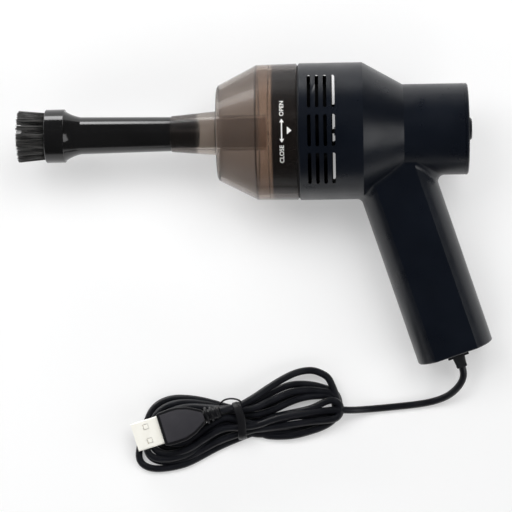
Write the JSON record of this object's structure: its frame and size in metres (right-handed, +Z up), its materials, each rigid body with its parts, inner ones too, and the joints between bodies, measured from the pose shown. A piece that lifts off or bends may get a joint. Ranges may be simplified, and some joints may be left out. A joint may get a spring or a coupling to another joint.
{
  "type": "desktop mini vacuum cleaner",
  "caption": "Small pistol-shaped desk vacuum lying on its side, with a see-through dust cup, a brush nozzle, a power button and a tied USB lead.",
  "frame": {"origin": "on the surface that the tool lies on, under the middle of the tool's own box (lead left out)", "axes": "+X along the barrel from the brush to the button, +Z up from the surface; the handle points to -Y"},
  "size_m": [0.197, 0.1695, 0.057],
  "materials": {
    "housing_plastic": "satin moulded ABS, near black with a blue cast",
    "inner_plastic": "moulded, unpolished",
    "white_plastic": "moulded, natural white",
    "cup_plastic": "smoky see-through polycarbonate, polished",
    "nozzle_plastic": "polished black",
    "bristle_nylon": "nylon filament",
    "seal_rubber": "plain",
    "filter_fabric": "pleated non-woven sheet",
    "steel": "zinc plated",
    "motor_steel": "drawn can, nickel plated",
    "armature_steel": "stacked laminations",
    "magnet": "ferrite",
    "copper": "enamelled copper wire",
    "brass": "plain",
    "cord_pvc": "soft PVC, charcoal",
    "wire_pvc": "insulated wire",
    "tie_plastic": "plastic-covered wire tie",
    "plug_metal": "nickel plated, folded sheet",
    "tongue_plastic": "moulded white"
  },
  "bodies": {
    "housing": {"housing_upper": "housing_plastic", "housing_lower": "housing_plastic", "housing_screws": "steel", "rear_cap": "housing_plastic", "switch_body": "inner_plastic", "switch_terminals": "brass", "cup_seal": "seal_rubber", "filter_holder": "inner_plastic", "filter_frame": "inner_plastic", "filter_media": "filter_fabric", "fan_shroud": "inner_plastic", "motor_bracket": "inner_plastic", "motor_can": "motor_steel", "motor_screws": "steel", "motor_magnets": "magnet", "motor_end_bell": "white_plastic", "motor_brushes": "brass", "motor_terminals": "brass", "cord_gland": "cord_pvc", "inner_cable": "cord_pvc", "cord_clamp": "inner_plastic", "clamp_screws": "steel", "supply_wires": "wire_pvc", "switch_link_wire": "wire_pvc", "power_cord": "cord_pvc", "cord_hank": "cord_pvc", "cord_tie": "tie_plastic", "plug_lead": "cord_pvc", "usb_grip": "cord_pvc", "usb_shell": "plug_metal", "usb_tongue": "tongue_plastic", "usb_contacts": "brass"},
    "rotor": {"impeller": "inner_plastic", "motor_shaft": "steel", "motor_armature": "armature_steel", "motor_windings": "copper", "commutator": "copper"},
    "button": {"power_button": "housing_plastic", "switch_plunger": "white_plastic"},
    "cup": {"dust_cup": "cup_plastic"},
    "nozzle": {"nozzle_tube": "nozzle_plastic", "brush_bristles": "bristle_nylon"}
  },
  "joints": [
    {"name": "rotor_spin", "type": "hinge", "parent": "housing", "child": "rotor", "pos_m": [0.045, 0.03467, 0.0285], "axis": [1, 0, 0], "continuous": true},
    {"name": "button_press", "type": "slide", "parent": "housing", "child": "button", "axis": [-1, 0, 0], "range_m": [0, 0.0015], "stiffness_N_per_m": 300},
    {"name": "cup_twist", "type": "hinge", "parent": "housing", "child": "cup", "pos_m": [0, 0.03467, 0.0285], "axis": [-1, 0, 0], "range_deg": [0, 20]},
    {"name": "nozzle_pull", "type": "slide", "parent": "cup", "child": "nozzle", "axis": [-1, 0, 0], "range_m": [0, 0.016]}
  ]
}
